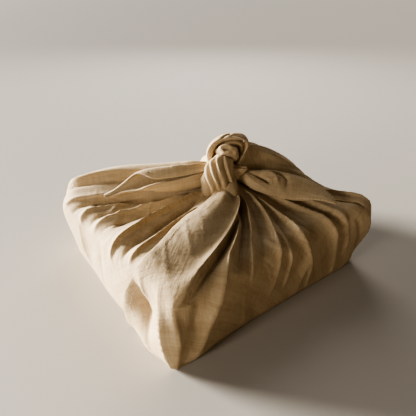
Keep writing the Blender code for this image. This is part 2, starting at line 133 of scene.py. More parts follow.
# start and end (0 at the knot, 1 at the top edge, 2 at the foot), the bearing at start, middle and end,
# half width on the lesser and the greater side, height at start, middle and end, and the crest's lean
folds = (
    # the near corner's flap and the corner itself
    (0.96, 1.99, 204, 206, 211, 9, 15, 0, -10, -2, 0),
    (1.45, 2, 205, 208, 210, 14, 12, 0, 1, 2, 0),
    (0.98, 1.45, 208, 209, 210, 2.5, 3, 0, 3, 0, 0),
    (0.92, 2, 216, 218, 221, 3, 3.5, 0, 6, 1, -1),
    (0.98, 2, 221, 222, 222, 6, 2, 2, 4, 1.5, 1),
    (1, 1.98, 227, 225, 223, 2.2, 3, 0, -4, -1, 0),
    # from the near corner to the right one
    (0.2, 1.12, 246, 229, 222, 8, 2, 4, 5.5, 2, 3),
    (0.2, 1.1, 251, 234, 225, 2.2, 5, -5, -5, -1, 0),
    (0.4, 2, 240, 231, 226, 2.8, 4, 4, 8.5, 0, 1.5),
    (0.25, 1.1, 246, 241, 240, 2.2, 3, -5, -5, 0, 0),
    (0.18, 1.9, 253, 246, 243, 1.6, 2.2, 5, 4.5, 1, -1.5),
    (0.3, 1.3, 256, 253, 251, 3, 3, -2, -1.5, 0, 0),
    (0.14, 1.8, 268, 262, 256, 2, 2, 5, 4, 0, 1),
    (0.7, 1.7, 263, 268, 266, 2, 2.4, 0, 3.5, 0, 0),
    (0.25, 1.15, 271, 270, 269, 2.5, 2, -2, -1.5, 0, 0),
    (0.18, 1.9, 269, 278, 284, 2, 1.6, 5, 5.5, 1, 2),
    (0.18, 1.4, 273, 282, 288, 1.6, 3, -5, -3, 0, 0),
    (0.3, 1.15, 285, 286, 290, 4, 4, -1, -1, 0, 0),
    (0.3, 1.9, 289, 296, 300, 2, 1.6, 5, 4.5, 1, 2),
    (0.3, 1.4, 292, 299, 303, 1.4, 2.6, -3, -3, 0, 0),
    (0.55, 1.15, 299, 299, 300, 1.8, 1.8, -3, -3, 0, 0),
    (0.4, 1.7, 305, 302, 305, 2, 2, 3, 3.5, 0, 1),
    (0.68, 1, 311, 311, 311, 1.8, 1.8, -3, -5, -1, 0),
    (0.6, 1.12, 320, 318, 315, 4, 2.5, 2, 5, 0, -3),
    (1, 1.9, 306, 309, 313, 2.5, 2.5, 0, -4, 0, 0),
    (1, 1.9, 310, 313, 316, 2.5, 2.5, 0, 3, 0, 0),
    (1.05, 1.95, 281, 279, 276, 6, 7, 0, 3, 0, 0),
    (1.1, 2, 243, 246, 248, 7, 6, 0, -3, -1, 0),
    # the left side
    (0.3, 1.08, 203, 195, 197, 4, 2.5, 3, 6, 0, 2),
    (0.2, 1.12, 184, 187, 191, 3, 6, -5, -7, 0, 0),
    (0.15, 1.25, 173, 178, 184, 5, 1.8, 5, 7, 0, 2.5),
    (0.25, 1.05, 166, 167, 167, 4, 4, -4, -5, 0, 0),
    (0.25, 1.15, 160, 159, 163, 4, 4, 3, 5, 0, 1),
    (0.45, 1.1, 153, 154, 158, 3, 3, -3, -4, 0, 0),
    (0.6, 1.15, 147, 149, 152, 3, 3, 0, 4, 0, 0),
    (0.5, 1.06, 144, 144.5, 145, 2, 2, -3, -4, -1, 0),
    (0.45, 1.04, 140, 141, 140, 2.5, 2, 2, 4, 2, 2),
    (0.5, 0.98, 136.5, 136.5, 135, 2, 2, -3, -5.5, -2, 0),
    (0.1, 1.06, 133, 132, 133, 5, 2.5, 4, 6, 6, 4.5),
    (1.05, 1.9, 150, 152, 156, 5, 6, 0, 3, 0, 0),
    (1.05, 1.9, 168, 170, 172, 6, 8, 0, -2, 0, 0),
    # the back
    (0.15, 1.4, 122, 121, 118, 4, 5, 3, 5, 0, 1),
    (0.15, 1.3, 113, 112, 110, 4, 4, -3, -5, 0, 0),
    (0.15, 1.55, 103, 104, 106, 5, 4, 4, 6, 0, -1.5),
    (0.2, 1.25, 94, 95, 97, 3, 5, -4, -5, 0, 0),
    (0.15, 1.7, 86, 85, 82, 4, 5, 4, 6, 0, 2),
    (0.2, 1.35, 76, 76, 74, 5, 3, -3, -6, 0, 0),
    (0.15, 1.5, 67, 66, 69, 4, 4, 4, 5, 0, 0),
    (0.2, 1.6, 55, 54, 57, 4, 5, -4, -5, 0, 0),
    (0.15, 1.95, 42, 43, 44, 5, 5, 4, 6, 2, 1.5),
    (0.2, 1.3, 31, 30, 33, 5, 4, -3, -4, 0, 0),
    (0.15, 1.45, 18, 17, 20, 5, 5, 3, 4, 0, -1.5),
    (0.2, 1.25, 6, 5, 3, 5, 5, -3, -3, 0, 0),
    (0.15, 1.6, 353, 352, 350, 5, 5, 3, 4, 0, 1.5),
    (0.2, 1.1, 340, 341, 342, 4, 4, -2, -3, 0, 0),
    (1, 1.9, 326, 324, 322, 4, 5, 0, 4, 0, 0),
)

# crumples that don't run to the knot: three places in plan, half widths and height, all in mm
crumples = (
    ((-48, 26), (-62, 17), (-78, 4), 1.4, 3.4, 1.6),
    ((-62, 42), (-69, 30), (-72, 14), 1.4, 3, 0.6),
    ((-48, 33), (-60, 24), (-78, 20), 1.2, 2.6, 1.1),
    ((-72, 47), (-88, 43), (-106, 28), 1.6, 4, 1.9),
    ((-66, 36), (-88, 28), (-108, 10), 1.6, 3.6, 1.7),
    ((-92, 70), (-102, 66), (-114, 56), 1.8, 2.6, 1.8),
    ((-108, 16), (-98, 14), (-88, 20), 3, 5, -2),
    ((-112, -16), (-98, -16), (-80, -10), 3, 5, -2.2),
    ((-58, -36), (-70, -58), (-83, -80), 0.7, 0.9, 0.6),
    ((-84, -46), (-102, -74), (-112, -98), 0.7, 0.9, 0.6),
    ((-42, -34), (-54, -56), (-68, -72), 0.7, 0.9, 0.5),
    ((-60, -92), (-58, -100), (-46, -102), 1.4, 2.2, 1.6),
    ((-14, -84), (-8, -98), (-6, -112), 1.8, 2.8, 1.8),
)

# finer creases between them, drawn by chance with a fixed seed
fineCreases = {"count": 110, "starts": (0.15, 1.1), "lengths": (0.2, 0.7), "halfWidths": (0.9, 3.4),
               "otherSides": (0.8, 1.6), "heights": (0.15, 0.65), "drift": 10,
               "panelStart": 196, "panelEnd": 236}


def planReach(angle, halvings=36):
    b = bundle
    near = np.zeros_like(angle)
    far = np.full_like(angle, 3 * b["halfWidth"])
    for _ in range(halvings):
        middle = (near + far) / 2
        x = (b["knotPlace"][0] + middle * np.cos(angle)) / b["halfWidth"]
        y = (b["knotPlace"][1] / b["depthShare"] + middle * np.sin(angle)) / b["halfWidth"]
        inside = np.abs(x) ** b["cornerPower"] + np.abs(y) ** b["cornerPower"] < 1
        near = np.where(inside, middle, near)
        far = np.where(inside, far, middle)
    return near


def pathAlong(reach, share):
    b = bundle
    flat = reach - b["edgeRadius"]
    halfArc = b["edgeRadius"] * math.pi / 4
    top = flat + halfArc
    side = halfArc + b["edgeHeight"] - b["edgeRadius"]
    return flat, np.where(share < 1, share * top, top + (share - 1) * side)


def plainSurface(bearing, share):
    b = bundle
    offSwirl = np.abs(turnBetween(bearing, b["swirlBearing"]))
    swirl = b["swirlTurn"] * smoothStep((b["swirlSpan"] - offSwirl) / b["swirlSpan"] * b["swirlPlateau"])
    angle = np.radians(bearing + swirl * np.clip(1 - share, 0, 1) ** b["swirlPower"])
    reach = planReach(angle)
    flat, path = pathAlong(reach, share)
    arc = np.clip((path - flat) / b["edgeRadius"], 0, math.pi / 2)
    out = np.where(path < flat, path, flat + b["edgeRadius"] * np.sin(arc))
    drop = np.where(path < flat, 0, b["edgeRadius"] * (1 - np.cos(arc)))
    drop = drop + np.maximum(0, path - flat - b["edgeRadius"] * math.pi / 2)
    inward = np.clip(out / reach, 0, 1)
    behind = smoothStep((b["backSpan"] - np.abs(turnBetween(bearing, b["backBearing"]))) / b["backBlend"])
    rise = (1 - behind) * b["frontRise"] * (1 - inward) ** b["frontPower"]
    rise = rise + behind * b["backRise"] * (1 - inward ** b["backPower"])
    for place, halfAngle, along, halfAlong, outward, up in b["swellings"]:
        amount = np.exp(-(turnBetween(bearing, place) / halfAngle) ** 2
                        - ((share - along) / halfAlong) ** 2) * mm
        out = out + outward * amount
        rise = rise + up * amount * np.clip(2 - share, 0, 1)
    out = out - b["footTuck"] * smoothStep((share - b["footShare"]) / (2 - b["footShare"]))
    x = b["knotPlace"][0] + out * np.cos(angle)
    y = b["knotPlace"][1] + out * np.sin(angle) * b["depthShare"]
    return np.stack([x, y, b["edgeHeight"] - drop + rise], axis=-1)


def surfaceNormal(bearing, share):
    across = plainSurface(bearing + 0.2, share) - plainSurface(bearing - 0.2, share)
    farther = np.minimum(share + 0.02, 2)
    along = plainSurface(bearing, farther) - plainSurface(bearing, farther - 0.04)
    return unit(np.cross(along, across))


def fromAxis(points):
    return np.hypot(points[..., 0] - bundle["knotPlace"][0], points[..., 1] - bundle["knotPlace"][1])


def drawnCreases():
    c = fineCreases
    rows = []
    for _ in range(c["count"]):
        start = chance.uniform(*c["starts"])
        length = chance.uniform(*c["lengths"])
        bearing = chance.uniform(c["panelEnd"], c["panelStart"] + 360)
        drift = chance.uniform(-c["drift"], c["drift"])
        wide = chance.uniform(*c["halfWidths"])
        tall = chance.uniform(*c["heights"]) * chance.choice((-1, 1))
        otherSide = wide * chance.uniform(*c["otherSides"])
        rows.append((start, min(start + length, 2.0), bearing, bearing + drift / 2, bearing + drift,
                     wide, otherSide, 0, tall, 0, 0))
    return rows


allFolds = list(folds) + drawnCreases()
wavers = chance.uniform(0, math.tau, (len(allFolds), 2))


def foldShape(bearing, share, spread):
    # height of the folds in mm, and how far their crests are pushed sideways
    b = bundle
    height = np.zeros_like(bearing)
    push = np.zeros_like(bearing)
    narrow = b["narrowest"] + (1 - b["narrowest"]) * np.clip(share, 0, 1)
    for fold, waver in zip(allFolds, wavers):
        start, end, b0, b1, b2, lesser, greater, h0, h1, h2, lean = fold
        u = (share - start) / (end - start)
        inside = (u > 0) & (u <= 1)
        if not inside.any():
            continue
        u = np.clip(u, 0, 1)
        centre = throughThree(u, b0, b1, b2)
        centre = centre + b["waver"] * np.sin(share * b["waverRate"] + waver[0]) * np.clip(share, 0, 1)
        across = np.radians(turnBetween(bearing, centre)) * spread / mm
        half = np.maximum(np.where(across < 0, lesser, greater) * narrow, b["leastHalfWidth"])
        uneven = 1 + b["unevenness"] * np.sin(share * b["unevenRate"] + waver[1])
        size = throughThree(u, h0, h1, h2) * uneven * smoothStep(u * b["startFading"])
        crest = np.where(inside, np.exp(-np.abs(across / half) ** b["crestPower"]), 0)
        ends = smoothStep(u * b["leanFading"]) * smoothStep((1 - u) * b["leanFading"])
        height += size * crest
        push += lean * ends * narrow * crest
    return height, push


# the main cloth: one sheet from the near flap's free hem right round, and on under that flap
flap = {
    # share and bearing of the free hem
    "hemShares": (0.05, 0.2, 0.34, 0.53, 0.65, 0.79, 0.92, 1, 1.14, 1.36, 1.73, 2),
    "hemBearings": (210, 208, 206, 203, 203.5, 205, 206, 205.5, 202.5, 198.5, 196.5, 197.5),
    "middleBearing": 203, "settles": 60, "overlap": 30,
    # how high the flap's hem stands off the cloth below, and how far in that reaches, in mm
    "liftShares": (0.05, 0.35, 0.8, 1, 1.3, 2), "lifts": (2.5, 6.5, 9.5, 10, 6.5, 3.5),
    "liftReaches": (30, 36, 36, 28, 14, 12), "liftPower": 1.6,
    # the cloth that runs on under it: how far below it stays, and how soon past the hem, in mm
    "followFrom": 2, "followReach": 20, "gap": 1.5, "gapReach": 5,
    "hemWidth": 6.5, "hemThickness": 0.15, "hemStep": 2, "stitchFromEdge": 5.6, "stitchTurn": 2.4,
    "grooveDepth": 0.05, "grooveWidth": 0.7, "pucker": 0.15, "puckerReach": 9, "puckerSeed": 7,
    # the strip turned under: its places from the cut edge on in mm, then its angles round the fold
    "turnedPlaces": (6, 4, 2, 0.6), "turnedAngles": (150, 110, 70, 35),
    "turnedLowest": 0.1 * mm, "edgeRound": 0.8,
    "firstShare": 0.05, "rowPower": 0.92, "rowCount": 108, "underColumns": 34, "fineStep": 0.55,
    "coarseStep": 1.4, "fineUntil": 122, "fineAgain": 285,
}


def flapColumns():
    fine = np.arange(0, flap["fineUntil"], flap["fineStep"])
    back = np.arange(flap["fineUntil"], flap["fineAgain"], flap["coarseStep"])
    left = np.arange(flap["fineAgain"], 360, flap["fineStep"])
    under = np.linspace(360, 360 + flap["overlap"], flap["underColumns"])
    return np.concatenate([fine, back, left, under])


def hemShape(turn, share, spread):
    # what the free hem adds: the flap stands off the cloth below, and its hem is doubled and stitched
    f = flap
    lift = np.interp(share, f["liftShares"], f["lifts"])
    reach = np.interp(share, f["liftShares"], f["liftReaches"])
    fromHem = np.radians(np.maximum(turn, 0)) * spread / mm
    lifted = lift * np.exp(-(fromHem / reach) ** f["liftPower"])
    hem = f["hemThickness"] * smoothStep((f["hemWidth"] - fromHem) / f["hemStep"])
    hem = hem - f["grooveDepth"] * np.exp(-((fromHem - f["stitchFromEdge"]) / f["grooveWidth"]) ** 2)
    puckers = softWaves(share * 60, fromHem * 0.2, f["puckerSeed"])
    hem = hem + f["pucker"] * np.exp(-(fromHem / f["puckerReach"]) ** 2) * puckers
    pastHem = np.radians(np.maximum(turn - 360, 0)) * spread / mm
    liftUnder = lift * np.exp(-(pastHem / reach) ** f["liftPower"])
    under = np.maximum(0, liftUnder - f["followFrom"]) * smoothStep(pastHem / f["followReach"])
    under = under - f["gap"] * smoothStep(pastHem / f["gapReach"])
    return np.where(turn < 180, lifted + hem, 0) + np.where(turn > 360, under, 0)


def clothPoints(turn, share):
    # near the free hem the columns follow its line
    settles, middle = flap["settles"], flap["middleBearing"]
    settle = smoothStep(1 - turn / settles) + smoothStep((turn - 360 + settles) / settles)
    hem = np.interp(share, flap["hemShares"], flap["hemBearings"])
    bearing = middle + turn + (hem - middle) * np.clip(settle, 0, 1)
    plain = plainSurface(bearing, share)
    spread = fromAxis(plain)
    height, push = foldShape(bearing, share, spread)
    onTop = smoothStep((bundle["crumplesEnd"] - share) / bundle["crumplesFade"])
    height = height + onTop * strokeHeight(plain[..., 0] / mm, plain[..., 1] / mm, crumples)
    height = height + hemShape(turn, share, spread)
    moved = bearing + np.degrees(push * mm / np.maximum(spread, bundle["leastSpread"]))
    normal = surfaceNormal(moved, share)
    points = plainSurface(moved, share) + normal * height[..., None] * mm
    lowest = bundle["lowest"]
    points[..., 2] = np.where(share >= 2, lowest, np.maximum(points[..., 2], lowest))
    return points, normal, bearing


def clothPlace(bearing, share):
    # where a point lies on the flat cloth, in metres, turned so that its threads run as in the photo
    angle = np.radians(bearing)
    _, path = pathAlong(planReach(angle), share)
    x = path * np.cos(angle)
    y = path * np.sin(angle) * bundle["depthShare"]
    turn = math.sqrt(0.5)
    return np.stack([(x + y) * turn, (y - x) * turn], axis=-1)


def gridFaces(rows, columns, flip=False):
    i, j = np.meshgrid(np.arange(rows - 1), np.arange(columns - 1), indexing="ij")
    a = (i * columns + j).ravel()
    quads = np.stack([a, a + 1, a + columns + 1, a + columns], axis=1)
    return [tuple(q) for q in (quads[:, ::-1] if flip else quads)]


def turnedHem(points, normal):
    # the strip turned under along the free edge, from its cut edge round to the fold
    tangent = unit(points[:, 1] - points[:, 0])
    outer = normal[:, 0]
    r = flap["edgeRound"] * mm
    strips = [points[:, 0] - 2 * r * outer + tangent * place * mm for place in flap["turnedPlaces"]]
    for degrees in flap["turnedAngles"]:
        a = math.radians(degrees)
        strips.append(points[:, 0] - r * outer + r * (outer * math.cos(a) - tangent * math.sin(a)))
    strip = np.stack(strips, axis=1)
    strip[..., 2] = np.maximum(strip[..., 2], flap["turnedLowest"])
    return strip


def makeMainCloth():
    turns = flapColumns()
    firstShare = flap["firstShare"]
    shares = firstShare + (2 - firstShare) * np.linspace(0, 1, flap["rowCount"]) ** flap["rowPower"]
    turn, share = np.meshgrid(turns, shares)
    points, normal, bearing = clothPoints(turn, share)
    uvs = clothPlace(bearing, share)
    strip = turnedHem(points, normal)
    first = strip.shape[1]
    last = first + int(np.searchsorted(turns, 360.0))
    grid = np.concatenate([strip, points], axis=1)
    uvs = np.concatenate([np.repeat(uvs[:, :1], first, axis=1), uvs], axis=1)
    rows, columns = grid.shape[:2]
    faces = gridFaces(rows, columns, flip=True)
    allPoints = list(grid.reshape(-1, 3))
    allUvs = list(uvs.reshape(-1, 2))
    # closed under the knot
    core = len(allPoints)
    allPoints.append(np.array([*bundle["knotPlace"], bundle["coreHeight"]]))
    allUvs.append(np.zeros(2))
    faces += [(core, c + 1, c) for c in range(first, last)]
    # the underside, from the lowest row in to the middle
    rim = [(rows - 1) * columns + c for c in range(first, last)]
    ring = rim
    for inset in bundle["undersideInsets"]:
        nextRing = []
        for index in rim:
            p = allPoints[index]
            nextRing.append(len(allPoints))
            allPoints.append(np.array([p[0] * inset, p[1] * inset, bundle["undersideHeight"]]))
            allUvs.append(allUvs[index] * inset)
        for k in range(len(ring)):
            n = (k + 1) % len(ring)
            faces.append((ring[k], nextRing[k], nextRing[n], ring[n]))
        ring = nextRing
    faces.append(tuple(ring))
    hemColumn = np.searchsorted(turns, flap["stitchTurn"])
    return (allPoints, faces, allUvs), points[:, hemColumn], normal[:, hemColumn]


mainPart, flapHemLine, flapHemNormal = makeMainCloth()
print("main cloth", len(mainPart[0]), "points")

# the knot: strands whose sections are right, away and up of the knot's foot as the camera sees it,
# half width and half thickness, all in mm; strokes are drawn in shares of the length and degrees
knot = {"turn": -37.0, "facing": (0, -0.88, 0.48), "endRounding": 14, "endShare": 0.25}
wrap = {
    "axis": (1, 0, 0), "waver": 0.2, "seed": 7, "stations": 9, "sides": 96,
    "rows": (
        (-11.5, -12, 77, 6.5, 5), (-9.5, -14, 85, 12, 8.5), (-6, -13.5, 94, 14.5, 10.5),
        (-3.5, -11.5, 104, 14, 10), (-0.5, -9, 112, 11, 8), (2, -6, 119, 7.5, 5.5)),
    "strokes": (
        ((0.3, 26), (0.66, 60), (0.98, 100), 1, 5, 2.4),
        ((0.26, 52), (0.62, 92), (0.95, 150), 1, 5, 2.8),
        ((0.16, 58), (0.55, 112), (0.86, 185), 1, 5, 2.6),
        ((0.06, 66), (0.44, 130), (0.76, 192), 1, 4.5, 2.4),
        ((0.01, 92), (0.24, 150), (0.52, 190), 1, 4, 2),
        ((0.3, 33), (0.66, 68), (0.98, 110), 1.1, 1.1, -1.8),
        ((0.26, 60), (0.62, 101), (0.95, 160), 1.1, 1.1, -2.2),
        ((0.16, 66), (0.55, 121), (0.86, 194), 1.1, 1.1, -2.2),
        ((0.06, 74), (0.44, 139), (0.76, 200), 1.1, 1.1, -2),
        ((0.01, 101), (0.24, 159), (0.52, 198), 1.1, 1.1, -1.6),
        ((0.4, 20), (0.6, 30), (0.85, 60), 1.2, 1.2, -1)),
}
nub = {
    "axis": (0, 1, 0), "waver": 0.5, "seed": 6, "stations": 9, "sides": 60,
    "rows": (
        (-3.5, 0, 118.5, 4, 4.2), (-0.5, -3, 122, 6, 5.6), (4, -4, 123.2, 6.8, 6.4),
        (8.4, -3.5, 121, 6.4, 6.2), (10.4, -1, 112.5, 4.8, 5.2)),
    "strokes": (
        ((0.36, 150), (0.46, 146), (0.56, 158), 1.5, 1.5, -3.6),
        ((0.24, 128), (0.44, 116), (0.66, 132), 1.2, 1.6, 1.7),
        ((0.22, 168), (0.44, 184), (0.68, 166), 1.2, 1.2, 1.3),
        ((0.66, 96), (0.72, 130), (0.7, 170), 1.6, 1.2, 1.5),
        ((0.1, 84), (0.42, 78), (0.8, 96), 1.1, 2.2, -1.2)),
}
arch = {
    "axis": (0, 1, 0), "waver": 0.2, "seed": 7, "stations": 7, "sides": 60,
    "rows": (
        (-8, 5, 98, 5.5, 4.2), (-12, 2, 109, 5, 3.6), (-12.2, 1, 119.5, 5, 3.6),
        (-8.6, 2, 127, 5, 3.4), (-2, 3, 131.8, 5.2, 3.2), (5.5, 4, 133.6, 6, 3.2),
        (13.5, 5, 134, 7, 2.8), (20.5, 4, 132.6, 7, 2.2), (23.5, 3, 127, 6, 2),
        (20, 3, 118, 6, 2.4), (14.5, 4, 107, 7, 4), (11, 6, 95, 7, 5)),
    "strokes": (
        ((0.36, 200), (0.42, 250), (0.5, 290), 1, 1.6, -1.8),
        ((0.1, 230), (0.24, 226), (0.36, 212), 1, 2.2, 0.9),
        ((0.44, 228), (0.56, 236), (0.7, 216), 2.4, 2.4, -2.2),
        ((0.1, 250), (0.26, 262), (0.4, 300), 1.1, 1.1, -0.9),
        ((0.48, 60), (0.6, 80), (0.74, 100), 1.1, 1.8, -0.9),
        ((0.72, 250), (0.8, 262), (0.92, 280), 1, 1.6, -0.9)),
}
backTurn = {
    "axis": (0, 1, 0), "waver": 0.2, "seed": 11, "stations": 7, "sides": 40, "strokes": (),
    "rows": (
        (-9, 6, 103, 7, 5), (-8, 7, 115, 6, 4), (-1, 8, 124, 7, 3.6), (9, 9, 128, 9, 3.6),
        (17, 9, 126, 9, 3.6), (19, 8, 115, 8, 4), (16, 8, 102, 7, 5)),
}
ear = {
    "axis": (0, 1, 0), "waver": 0.3, "seed": 6, "stations": 8, "sides": 60,
    "rows": (
        (2, -3, 101, 9, 11), (9, -5, 101, 8, 9.5), (15, -6, 102.5, 5.5, 6.5),
        (20.5, -7, 104.6, 3.4, 3.6), (24, -7, 106.2, 2, 1.8)),
    "strokes": (
        ((0.7, 128), (0.86, 138), (0.99, 140), 1.2, 1.2, -1.8),
        ((0.25, 150), (0.6, 152), (0.95, 162), 0.9, 2.6, 1.3),
        ((0.2, 112), (0.55, 118), (0.85, 124), 1, 2.4, -1)),
}
band = {
    "axis": (1, 0, 0), "waver": 0.25, "seed": 7, "stations": 8, "sides": 60,
    "rows": (
        (6, 3, 95, 6, 6), (6, -6, 94.4, 7, 6.8), (5.4, -13, 93, 8.2, 7),
        (4.2, -20, 90.4, 10, 6.2), (2, -27, 86.5, 11.5, 4.6), (-1.5, -35, 80, 12, 3)),
    "strokes": (
        ((0.16, 20), (0.42, 62), (0.76, 100), 0.9, 3.4, 1.3),
        ((0.16, 30), (0.42, 72), (0.76, 110), 0.8, 0.8, -1.1)),
}


def fromKnot(places):
    places = np.asarray(places, float)
    t = math.radians(knot["turn"])
    x = bundle["knotPlace"][0] + (places[..., 0] * math.cos(t) - places[..., 1] * math.sin(t)) * mm
    y = bundle["knotPlace"][1] + (places[..., 0] * math.sin(t) + places[..., 1] * math.cos(t)) * mm
    return np.stack([x, y, places[..., 2] * mm], axis=-1)


def sectionsAlong(k):
    # the table's values along a strand, with its middle line and the directions of width and thickness,
    # which a sixth value in the rows tilts
    rows = k["rows"]
    values = alongRows(rows, np.linspace(0, len(rows) - 1, (len(rows) - 1) * k["stations"] + 1))
    middles = fromKnot(values[:, :3])
    level = fromKnot(k["axis"]) - fromKnot((0, 0, 0))
    along = unit(np.gradient(middles, axis=0))
    wide = unit(level - along * (along @ level)[:, None])
    thick = np.cross(wide, along)
    facing = fromKnot(knot["facing"]) - fromKnot((0, 0, 0))
    for i in range(len(values)):
        if thick[i] @ facing < 0:
            thick[i] = -thick[i]
        facing = thick[i]
    tilt = np.radians(values[:, 5:6]) if values.shape[1] > 5 else 0.0
    tiltedWide = wide * np.cos(tilt) + thick * np.sin(tilt)
    tiltedThick = thick * np.cos(tilt) - wide * np.sin(tilt)
    return values, middles, tiltedWide, tiltedThick


def lengthAlong(middles):
    steps = np.linalg.norm(np.diff(middles, axis=0), axis=1)
    return np.concatenate([[0], np.cumsum(steps)])


def scaledStrokes(strokes, wholeLength, wholeRound):
    return [tuple((p[0] * wholeLength, p[1] * wholeRound) for p in stroke[:3]) + tuple(stroke[3:])
            for stroke in strokes]


def asPart(points, faces, u, v):
    uvs = np.stack(np.broadcast_arrays(u, v), axis=-1)
    return points.reshape(-1, 3), faces, uvs.reshape(-1, 2)


def ovalSkin(wide, thick, across, through):
    return wide[:, None] * across[..., None] + thick[:, None] * through[..., None]


def tubeFaces(count, sides):
    # quads between each section of a closed tube and the next one
    faces = []
    for i in range(count - 1):
        here, there = i * sides, (i + 1) * sides
        for j in range(sides):
            n = (j + 1) % sides
            faces.append((here + j, here + n, there + n, there + j))
    return faces


def makeStrand(k):
    # a closed strand of oval sections with its strokes
    values, middles, wide, thick = sectionsAlong(k)
    count = len(values)
    sides = k["sides"]
    angle = np.linspace(0, 360, sides, endpoint=False)[None, :]
    length = lengthAlong(middles)
    share = np.linspace(0, 1, count)[:, None]
    perDegree = values[:, 3].mean() * math.pi / 180
    drawn = scaledStrokes(k["strokes"], length[-1] / mm, perDegree)
    u = share * length[-1] / mm
    depth = strokeHeight(u, angle * perDegree, drawn)
    depth = depth + strokeHeight(u, (angle - 360) * perDegree, drawn)
    depth = depth + k["waver"] * softWaves(share * 9, np.radians(angle) * 2, k["seed"])
    a = np.radians(angle)
    rim = smoothStep(np.minimum(share, 1 - share) * knot["endRounding"])
    rim = rim * (1 - knot["endShare"]) + knot["endShare"]
    skin = ovalSkin(wide, thick, np.cos(a) * (values[:, 3:4] + depth) * rim,
                    np.sin(a) * (values[:, 4:5] + depth) * rim)
    points = middles[:, None] + skin * mm
    faces = tubeFaces(count, sides)
    faces.append(tuple(range(sides))[::-1])
    faces.append(tuple((count - 1) * sides + j for j in range(sides)))
    return asPart(points, faces, angle * perDegree * mm, length[:, None]), points


knotParts = [makeStrand(strand)[0] for strand in (wrap, nub, arch, backTurn, ear, band)]
print("knot")

# the left tail: a corner of the cloth rolled lengthwise, its mouth opening towards the tip
leftTail = {
    # right, away, up, half width, half thickness, tilt, half opening and the opening's place
    "rows": (
        (-4, 2, 98, 8, 7, 60, 2, 82), (-19, -3, 98, 10.5, 7, 62, 2, 84),
        (-36, -6, 96, 12.3, 7, 62, 2.5, 88), (-54, -7, 95, 12.3, 7, 60, 6, 98),
        (-67, -7, 94.5, 11.5, 6.5, 58, 12, 106), (-78, -7, 93.5, 10.4, 6, 54, 42, 100),
        (-88, -8, 90.5, 8, 4.6, 48, 84, 92), (-99, -9, 86, 5, 3, 42, 104, 90),
        (-108, -11, 82, 3.4, 2.2, 38, 114, 90), (-117, -13, 79.5, 2, 1.6, 35, 120, 90)),
    "axis": (0, 1, 0), "stations": 9, "steps": 48, "wall": 1, "roundPerWidth": 5.4, "leastOpening": 1.5,
    "hemWidth": 5, "hemThickness": 0.5, "hemStep": 0.8, "innerHemShare": 0.3, "stitchColumn": 5,
    "waver": 0.35, "waverSeed": 8, "mouthFading": 5,
    # wrinkles across it, in shares of its length and of the way round
    "strokes": (
        ((0.05, 0.8), (0.2, 0.84), (0.34, 0.78), 1, 2, 1.2),
        ((0.04, 0.7), (0.18, 0.74), (0.3, 0.7), 1, 1.6, -1),
        ((0.08, 0.2), (0.26, 0.26), (0.48, 0.2), 1.4, 2.6, 1.2),
        ((0.1, 0.34), (0.3, 0.38), (0.46, 0.3), 1.2, 2, -0.9),
        ((0.3, 0.1), (0.42, 0.2), (0.5, 0.34), 1.4, 2, 0.9)),
}


def makeLeftTail():
    t = leftTail
    values, middles, wide, thick = sectionsAlong(t)
    count = len(values)
    share = np.linspace(0, 1, count)[:, None]
    steps = np.linspace(0, 1, t["steps"])[None, :]
    opening = np.clip(values[:, 6:7], t["leastOpening"], None)
    a = np.radians(values[:, 7:8] + opening + (360 - 2 * opening) * steps)
    length = lengthAlong(middles)
    wayRound = values[:, 3].mean() * t["roundPerWidth"]
    relief = strokeHeight(share * length[-1] / mm, steps * wayRound,
                          scaledStrokes(t["strokes"], length[-1] / mm, wayRound))
    waves = softWaves(share * 6, steps * 9, t["waverSeed"])
    relief = relief + t["waver"] * waves * smoothStep(share * t["mouthFading"])
    fromHem = np.minimum(steps, 1 - steps) * values[:, 3:4] * t["roundPerWidth"]
    hem = t["hemThickness"] * smoothStep((t["hemWidth"] - fromHem) / t["hemStep"])
    direction = ovalSkin(wide, thick, np.cos(a), np.sin(a))
    skin = ovalSkin(wide, thick, np.cos(a) * values[:, 3:4], np.sin(a) * values[:, 4:5])
    outer = middles[:, None] + (skin + direction * (relief + hem)[..., None]) * mm
    inset = relief - t["wall"] - hem * t["innerHemShare"]
    inner = middles[:, None] + (skin + direction * inset[..., None]) * mm
    ring = np.concatenate([outer, inner[:, ::-1]], axis=1)
    faces = [(q[0], q[3], q[2], q[1]) for q in tubeFaces(count, ring.shape[1])]
    girth = np.concatenate([steps - 0.5, steps[:, ::-1] - 0.5], axis=1) * wayRound * mm
    return asPart(ring, faces, girth, length[:, None]), outer, direction


leftTailPart, leftTailSkin, leftTailOut = makeLeftTail()

# the right tail: a broad flattened leaf, with the cloth turned in on itself like an eye
rightTail = {
    "axis": (0, 1, 0), "waver": 0.25, "seed": 12, "stations": 9, "sides": 90,
    "rows": (
        (6, 1, 98, 6, 6, 45), (18, -2, 96.5, 6.5, 5.6, 45), (32, -6, 93, 10.5, 6.5, 45),
        (46, -8, 91, 13.5, 6.5, 43), (60, -10, 88.5, 14.5, 5.6, 40), (76, -12, 86, 13.8, 4.2, 34),
        (90, -17, 84, 11, 3, 24), (100, -25, 81.8, 6.5, 2.2, 16), (107, -33, 79.8, 1.8, 1.6, 10)),
    "strokes": (
        ((0.26, 70), (0.39, 62), (0.45, 120), 1.3, 1.4, 3),
        ((0.23, 74), (0.31, 86), (0.38, 110), 1.2, 1.3, -5),
        ((0.28, 48), (0.49, 52), (0.5, 138), 1.6, 1.8, -3.2),
        ((0.1, 78), (0.3, 126), (0.5, 158), 1.4, 2.2, 1.6),
        ((0.14, 60), (0.24, 74), (0.33, 96), 1.2, 2, -1.2),
        ((0.6, 24), (0.8, 36), (0.98, 60), 0.8, 0.8, -0.5),
        ((0.7, 110), (0.8, 120), (0.92, 110), 1.4, 3, 0.7)),
}
rightTailPart, rightTailSkin = makeStrand(rightTail)
print("tails")

